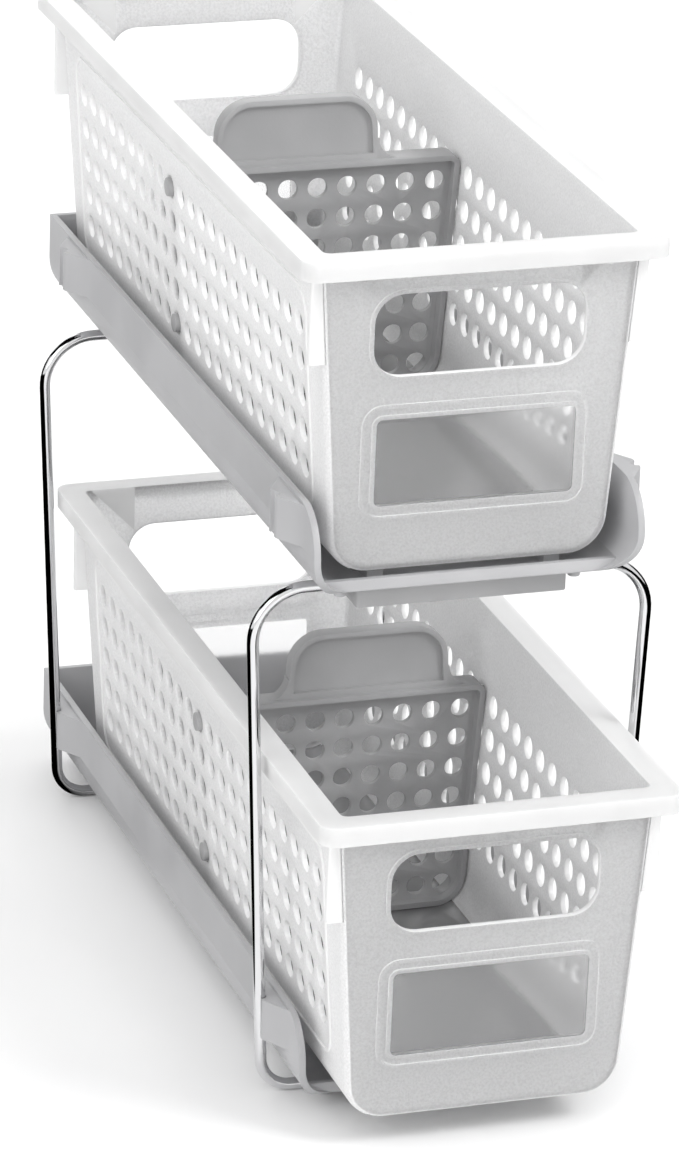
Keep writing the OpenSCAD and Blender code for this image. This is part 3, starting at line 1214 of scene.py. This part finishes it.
@dataclass
class Tray(Piece):
    """A trough with a half-round open front and four leg sockets. Its underside is Z = 0."""

    part: ClassVar[str] = "trough"
    slot: ClassVar[str] = "tray_plastic"
    softness: ClassVar[float] = 0.7 * MM
    basket: Basket
    hoops: tuple["Hoop", "Hoop"]
    height: float = 36.3 * MM
    wall: float = 2.5 * MM
    side_gap: float = 6 * MM
    long_r: float = 18 * MM
    rail_h: float = 4.8 * MM
    rail_w: float = 6 * MM
    rail_span: float = 68 * MM
    lip_clear: float = 0.5 * MM
    foot_d: float = 6 * MM
    foot_taper: float = 0.75 * MM
    socket_h: float = 16 * MM
    socket_drop: float = 1 * MM
    socket_slope: float = 11 * MM
    socket_wall: float = 1.8 * MM
    leg_clear: float = 0.3 * MM

    @property
    def base_z(self) -> float:
        """Height of the underside."""
        return self.high.z - self.height

    @property
    def placing(self) -> Matrix:
        """The way up to the tray's place."""
        return Matrix.Translation((0, 0, self.base_z))

    @property
    def half(self) -> float:
        """Half-width of the trough: the basket's at the tray's upper edge, with gap and wall."""
        return self.basket.side_x(self.basket.high.z - self.high.z) + self.side_gap + self.wall

    def trough(self, half: float, radius: float, base: float, back: float,
               top: float) -> Solid:
        """A long block with its two lower long edges rounded.

        Args:
            half: Its half-width.
            radius: The edges' radius.
            base: Its underside.
            back: Its back end.
            top: Its upper face.

        Returns:
            The solid.
        """
        obj = block((-half, self.low.y - MM, base), (half, back, top))
        return round_edges(obj, lambda e: runs_along(e, Axis.Y) and middle(e).z < base + EPS,
                           radius, 12)

    def shell(self) -> Solid:
        """The trough with its nose, floor, sides, back wall and the low lip across its front.

        Returns:
            The solid.
        """
        nose = self.height / 2
        obj = self.trough(self.half, self.long_r, 0, self.high.y, self.height)
        reach = self.half + MM
        side = block((-reach, self.low.y, 0), (reach, self.high.y + MM, self.height))
        round_edges(side, lambda e: runs_along(e, Axis.X) and middle(e).y < self.low.y + EPS,
                    nose - EPS, 16)
        combine(obj, side, Cut.KEEP_COMMON)
        floor_front = self.low.y + nose - math.sqrt(nose ** 2 - (nose - self.wall) ** 2)
        lip = block((-reach, floor_front, 0),
                    (reach, floor_front + self.wall, self.wall + self.rail_h - self.lip_clear))
        combine(lip, moved_copy(obj, MIRROR), Cut.KEEP_COMMON)
        hollow = self.trough(self.half - self.wall, self.long_r - self.wall, self.wall,
                             self.high.y - self.wall, self.height + OVERSHOOT)
        combine(obj, hollow, Cut.REMOVE)
        return combine(obj, lip, Cut.ADD)

    def socket(self, hoop: "Hoop") -> Solid:
        """A leg socket on the right side: a block with sloping ends and a groove for the leg.

        Args:
            hoop: The hoop whose leg it holds.

        Returns:
            The solid.
        """
        low = self.height - self.socket_drop - self.socket_h
        top = low + self.socket_h
        radius = hoop.wire / 2 + self.leg_clear
        face = radius + self.socket_wall
        foot = face + self.socket_slope
        obj = block((self.half - self.wall / 2, hoop.y - foot, low),
                    (self.half, hoop.y + foot, top))
        with editing(obj):
            pick(obj, "FACE", lambda side: side.normal.x > FACING)
            bpy.ops.mesh.extrude_region_move(
                TRANSFORM_OT_translate={"value": (self.high.x - self.half, 0, 0)}
            )
            bpy.ops.transform.resize(value=(1, face / foot, 1), center_override=(0, hoop.y, 0))
        clean(obj)
        round_edges(obj, lambda e: runs_along(e, Axis.Z) and middle(e).x > self.half + MM, MM, 4)
        reach = self.socket_h / 2 + 2 * MM
        groove = rod((0, 0, 0), radius, 2 * reach, Axis.Z)
        combine(groove, block((0, -radius, -reach), (2 * radius, radius, reach)), Cut.ADD)
        middle_z = (low + top) / 2
        leg = Matrix.Translation((hoop.leg_x(self.base_z + middle_z), hoop.y, middle_z))
        groove.data.transform(leg @ Matrix.Rotation(hoop.lean, 4, "Y"))
        return combine(obj, groove, Cut.REMOVE)

    def moulding(self) -> Solid:
        """The tray as a solid, its underside at Z = 0."""
        obj = self.shell()
        nose = self.height / 2
        reach = self.base_z - self.low.z
        start, end = self.low.y + nose, self.high.y - self.wall / 2
        for side in (-1, 1):
            x = side * self.rail_span / 2
            rail = block((x - self.rail_w / 2, start, self.wall - EPS),
                         (x + self.rail_w / 2, end, self.wall + self.rail_h))
            combine(obj, rail, Cut.ADD)
            for y in (start + self.foot_d, self.high.y - nose):
                peg = rod((side * (self.half - self.long_r), y, (MM - reach) / 2),
                          self.foot_d / 2 - self.foot_taper, reach + MM, Axis.Z, sides=24,
                          tip=self.foot_d / 2)
                combine(obj, peg, Cut.ADD)
        for hoop in self.hoops:
            add_both(obj, self.socket(hoop), MIRROR)
        return obj


@dataclass
class Hoop(Piece):
    """A closed loop of wire, drawn as one rod that is bent round the four corners."""

    part: ClassVar[str] = "wire"
    slot: ClassVar[str] = "chrome_wire"
    lean: float = math.radians(2.5)
    upper_bend: float = 20 * MM
    lower_bend: float = 12 * MM
    sides: int = 20
    bend_steps: int = 14

    @property
    def wire(self) -> float:
        """Diameter of the wire."""
        return self.high.y - self.low.y

    @property
    def y(self) -> float:
        """Place of the loop's plane."""
        return (self.low.y + self.high.y) / 2

    @property
    def placing(self) -> Matrix:
        """The way back to the loop's plane."""
        return Matrix.Translation((0, self.y, 0))

    @property
    def upper_centre(self) -> Vector:
        """Centre of the right upper bend, in the loop's plane."""
        reach = self.upper_bend + self.wire / 2
        return Vector((self.high.x - reach, 0, self.high.z - reach))

    @property
    def lower_centre(self) -> Vector:
        """Centre of the right lower bend, in the loop's plane."""
        z = self.low.z + self.wire / 2 + self.lower_bend
        return Vector((self.leg_x(z) - self.lower_bend / math.cos(self.lean), 0, z))

    def leg_x(self, height: float) -> float:
        """Distance of the right leg's axis from the middle, at a height."""
        at_bend = self.upper_centre.x + self.upper_bend / math.cos(self.lean)
        return at_bend - (self.upper_centre.z - height) * math.tan(self.lean)

    def bend(self, centre: Vector, angle: float) -> None:
        """Bends the open end about a centre, in the plane of the loop.

        Args:
            centre: The bend's centre.
            angle: How far it goes round.
        """
        bpy.ops.mesh.spin(steps=self.bend_steps, angle=angle, center=centre, axis=(0, 1, 0))

    def draw(self, way: Vector) -> None:
        """Draws the open end out in a straight line.

        Args:
            way: How far it goes.
        """
        bpy.ops.mesh.extrude_region_move(TRANSFORM_OT_translate={"value": way})

    def moulding(self) -> Solid:
        """The loop as a solid, its plane at Y = 0."""
        upper, lower = self.upper_centre, self.lower_centre
        flip = Vector((-1, 1, 1))
        out = Vector((math.cos(self.lean), 0, -math.sin(self.lean)))
        leg = upper + self.upper_bend * out - lower - self.lower_bend * out
        tight, wide = math.pi / 2 - self.lean, math.pi / 2 + self.lean
        bpy.ops.object.select_all(action="DESELECT")
        bpy.ops.mesh.primitive_circle_add(
            vertices=self.sides, radius=self.wire / 2, rotation=(0, math.pi / 2, 0),
            location=lower - Vector((0, 0, self.lower_bend)),
        )
        obj = bake_place(bpy.context.object)
        with editing(obj):
            bpy.ops.mesh.select_all(action="SELECT")
            self.bend(lower, tight)
            self.draw(leg)
            self.bend(upper, wide)
            self.draw(Vector((-2 * upper.x, 0, 0)))
            self.bend(upper * flip, wide)
            self.draw(-(leg * flip))
            self.bend(lower * flip, tight)
            self.draw(Vector((2 * lower.x, 0, 0)))
        clean(obj)
        return obj

    def dress(self, obj: Solid) -> None:
        """Shades the wire as round: it has no edge."""
        activate(obj)
        bpy.ops.object.shade_smooth()


@dataclass
class BarClip(Piece):
    """The saddle that holds a hoop's top bar up against the upper tray."""

    part: ClassVar[str] = "saddle"
    slot: ClassVar[str] = "grey_plastic"
    hoop: Hoop
    corner_r: float = 1.5 * MM
    clear: float = 0.1 * MM

    @property
    def placing(self) -> Matrix:
        """The way back to its hoop's plane."""
        return self.hoop.placing

    def moulding(self) -> Solid:
        """The saddle as a solid, its groove at Y = 0."""
        place = Vector((0, self.hoop.y, 0))
        low, high = self.low - place, self.high - place
        half = self.hoop.wire / 2 + self.clear
        bar_z = self.hoop.high.z - self.hoop.wire / 2
        obj = rounded_block(low, high, Axis.Z, self.corner_r, 4)
        groove = rod((0, 0, bar_z), half, high.x - low.x + 4 * MM, Axis.X)
        mouth = block((low.x - MM, -half, bar_z), (high.x + MM, half, high.z + MM))
        return combine(obj, combine(groove, mouth, Cut.ADD), Cut.REMOVE)


# ---- Studio ---------------------------------------------------------------------------------


@dataclass(frozen=True)
class Lamp:
    """A soft square lamp: its place, its side and its power in watts."""

    name: str
    place: Corner
    size: float
    power: float

    def build(self, target: Corner) -> None:
        """Hangs the lamp.

        Args:
            target: What it looks at.
        """
        data = bpy.data.lights.new(self.name, "AREA")
        data.shape = "SQUARE"
        data.size = self.size
        data.energy = self.power
        lamp = bpy.data.objects.new(self.name, data)
        bpy.context.scene.collection.objects.link(lamp)
        lamp.location = self.place
        aim = Vector(target) - Vector(self.place)
        lamp.rotation_euler = aim.to_track_quat("-Z", "Y").to_euler()


@dataclass(frozen=True)
class Studio:
    """The floor, the light and the camera."""

    floor_size: float = 30.0
    floor_gap: float = 0.2 * MM
    floor_colour: float = 0.97
    # Dark wedges on the floor at the object's two sides, which only a gloss shows
    wedge_turn: float = math.radians(18)
    wedge_slope: float = 1.3
    wedge_start: float = 0.09
    wedge_edge: float = 1.2
    ambient: float = 0.85
    # Dark cards that only a gloss shows: where each hangs, and its half-width in degrees
    cards: tuple[tuple[Corner, float], ...] = (
        ((-0.1, 0.2, 1.0), 52.0),
        ((-0.9, 0.75, 0.1), 22.0),
        ((1.0, 0.2, 0.1), 20.0),
    )
    card_edge: float = 5.0
    lamps: tuple[Lamp, ...] = (
        Lamp("key", (1.5, -1.6, 2.2), 1.0, 36),
        Lamp("fill", (-2.2, -1.4, 1.6), 2.2, 22),
        Lamp("back", (0.3, 2.4, 1.8), 1.8, 14),
    )
    lamp_target: Corner = (0, 0, 0.17)

    def floor(self) -> None:
        """A white floor that keeps the object's shadow."""
        bpy.ops.object.select_all(action="DESELECT")
        bpy.ops.mesh.primitive_plane_add(size=self.floor_size, location=(0, 0, -self.floor_gap))
        obj = named(bake_place(bpy.context.object), "studio_floor")
        material, tree = new_material("studio_floor")
        shader = tree.fill(tree.nodes["Principled BSDF"],
                           {"Roughness": 0.9, "Specular IOR Level": 0.0})
        tone = tree.mapped(self.wedges(tree), target=(self.floor_colour, 0.0))
        tree.link(tone, shader.inputs["Base Color"])
        obj.data.materials.append(material)

    def wedges(self, tree: Tree) -> Socket:
        """A mask of the floor's dark wedges, for glossy rays alone.

        Args:
            tree: The floor's node tree.

        Returns:
            The socket that is 1 in a wedge.
        """
        coords, split = tree.add("TexCoord"), tree.add("SeparateXYZ")
        turned = tree.add("Mapping", {"Rotation": (0, 0, self.wedge_turn)})
        tree.link(coords.outputs["Object"], turned.inputs["Vector"])
        tree.link(turned.outputs["Vector"], split.inputs["Vector"])
        across = tree.calculate("ABSOLUTE", split.outputs["X"])
        along = tree.calculate("ABSOLUTE", split.outputs["Y"])
        slope = tree.calculate("DIVIDE", along, across)
        inside = tree.mapped(slope, source=(self.wedge_slope * self.wedge_edge, self.wedge_slope))
        beyond = tree.mapped(across, source=(self.wedge_start, self.wedge_start * self.wedge_edge))
        wedge = tree.calculate("MULTIPLY", inside, beyond)
        return tree.calculate("MULTIPLY", wedge, tree.add("LightPath").outputs["Is Glossy Ray"])

    def card(self, tree: Tree, way: Corner, half_width: float) -> Socket:
        """A round dark card far away, as a mask on the directions that meet it.

        Args:
            tree: The world's node tree.
            way: The direction of its middle.
            half_width: Its half-width in degrees.

        Returns:
            The socket that is 1 on the card.
        """
        along = tree.add("VectorMath")
        along.operation = "DOT_PRODUCT"
        along.inputs[1].default_value = Vector(way).normalized()
        tree.link(tree.add("TexCoord").outputs["Generated"], along.inputs[0])
        edge = (math.cos(math.radians(half_width + self.card_edge)),
                math.cos(math.radians(half_width)))
        return tree.mapped(along.outputs["Value"], source=edge, smooth=True)

    def world(self) -> None:
        """A white world to look at, which lights the object less than it shows.

        The rays that show it whole come from the camera, from a gloss or through a clear part.
        """
        world = bpy.data.worlds.new("studio")
        bpy.context.scene.world = world
        world.use_nodes = True
        tree = Tree(world.node_tree)
        light = tree.fill(tree.nodes["Background"], {"Color": (1, 1, 1, 1)})
        rays = tree.add("LightPath").outputs
        gloss = rays["Is Glossy Ray"]
        seen = tree.calculate("MAXIMUM", rays["Is Camera Ray"], gloss)
        seen = tree.calculate("MAXIMUM", seen, rays["Is Transmission Ray"])
        level = tree.mapped(seen, target=(self.ambient, 1.0))
        for way, half_width in self.cards:
            dark = tree.calculate("MULTIPLY", self.card(tree, way, half_width), gloss)
            level = tree.calculate("SUBTRACT", level, dark, clamp=True)
        tree.link(level, light.inputs["Strength"])

    def camera(self) -> None:
        """The photograph's camera, worked out from the object's edges and holes."""
        spot = Vector((-711.4, -2156.7, 1020.8)) * MM
        yaw, pitch, roll = (math.radians(angle) for angle in (18.276, 21.001, 1.794))
        frame_long_side, focal_px = 1161, 6253.6
        data = bpy.data.cameras.new("camera")
        data.sensor_width = 36
        data.lens = focal_px / frame_long_side * data.sensor_width
        data.clip_end = 100
        camera = bpy.data.objects.new("camera", data)
        bpy.context.scene.collection.objects.link(camera)
        forward = Vector((math.sin(yaw) * math.cos(pitch), math.cos(yaw) * math.cos(pitch),
                          -math.sin(pitch)))
        level = Vector((math.cos(yaw), -math.sin(yaw), 0))
        upright = level.cross(forward)
        right = level * math.cos(roll) + upright * math.sin(roll)
        up = upright * math.cos(roll) - level * math.sin(roll)
        turn = Matrix((right, up, -forward)).transposed()
        camera.matrix_world = Matrix.Translation(spot) @ turn.to_4x4()
        bpy.context.scene.camera = camera

    def build(self) -> None:
        """Sets up the whole studio."""
        self.floor()
        self.world()
        for lamp in self.lamps:
            lamp.build(self.lamp_target)
        self.camera()
        bpy.context.scene.view_settings.view_transform = "Standard"


FROSTED = {
    Finish.SIDE: Plastic("frosted_plastic", (0.9, 0.9, 0.905), 0.5, 0.35, 1100.0, through=0.2,
                         subsurface=1.0, tone_spread=0.06, speckled=True),
    # The rim is the walls' plastic set darker, so that its well-lit top does not clip to white:
    # painted shade. Its low transmission comes from the thick plastic there.
    Finish.RIM: Plastic("rim_plastic", (0.78, 0.78, 0.78), 0.4, 0.03, through=0.1,
                        subsurface=1.0),
    Finish.END: Plastic("stippled_plastic", (0.9, 0.9, 0.905), 0.4, 0.9, 950.0, through=0.64,
                        subsurface=1.0, tone_spread=0.08, speckled=True),
    Finish.WINDOW: Plastic("window_plastic", (0.93, 0.93, 0.935), 0.14, 0.03, spread=0.03,
                           through=0.93, subsurface=1.0),
    # The edges are the walls' plastic set a little darker, so that the walls of the holes don't
    # show bright: painted shade, which the raised lines and fins share. Their low transmission
    # comes from the plastic being seen edge-on.
    Finish.EDGE: Plastic("edge_plastic", (0.86, 0.86, 0.86), 0.4, 0.02, through=0.1,
                         subsurface=1.0),
    Finish.BASE: Plastic("base_plastic", (0.92, 0.92, 0.925), 0.18, 0.05, spread=0.04,
                         through=0.8, subsurface=1.0),
}
TRAY = Plastic("tray_plastic", (0.45, 0.45, 0.46), 0.45, 0.08)
GREY = Plastic("grey_plastic", (0.39, 0.39, 0.395), 0.42, 0.1)


def main() -> None:
    """Builds each moulding once, puts its copies in place and reports each piece."""
    logging.basicConfig(level=logging.INFO, format="%(name)s: %(message)s")
    Studio().build()
    stipple = stipple_group()
    tray_plastic, grey, chrome = (finish.build(stipple) for finish in (TRAY, GREY, Chrome()))

    upper, lower = Basket("upper_basket"), Basket("lower_basket")
    hoops = Hoop("front_hoop"), Hoop("rear_hoop")
    families = [
        ([upper, lower], {finish: plastic.build(stipple) for finish, plastic in FROSTED.items()}),
        ([Divider("lower_divider", lower), Divider("upper_divider", upper, turned=True)], grey),
        ([Tray("lower_tray", lower, hoops), Tray("upper_tray", upper, hoops)], tray_plastic),
        (hoops, chrome),
        ([BarClip("front_bar_clip", hoops[0]), BarClip("rear_bar_clip", hoops[1])], grey),
    ]
    for family, finish in families:
        shape = family[0].build(finish)
        for piece in family:
            piece.put(shape)
        bpy.data.objects.remove(shape)


if __name__ == "__main__":
    main()
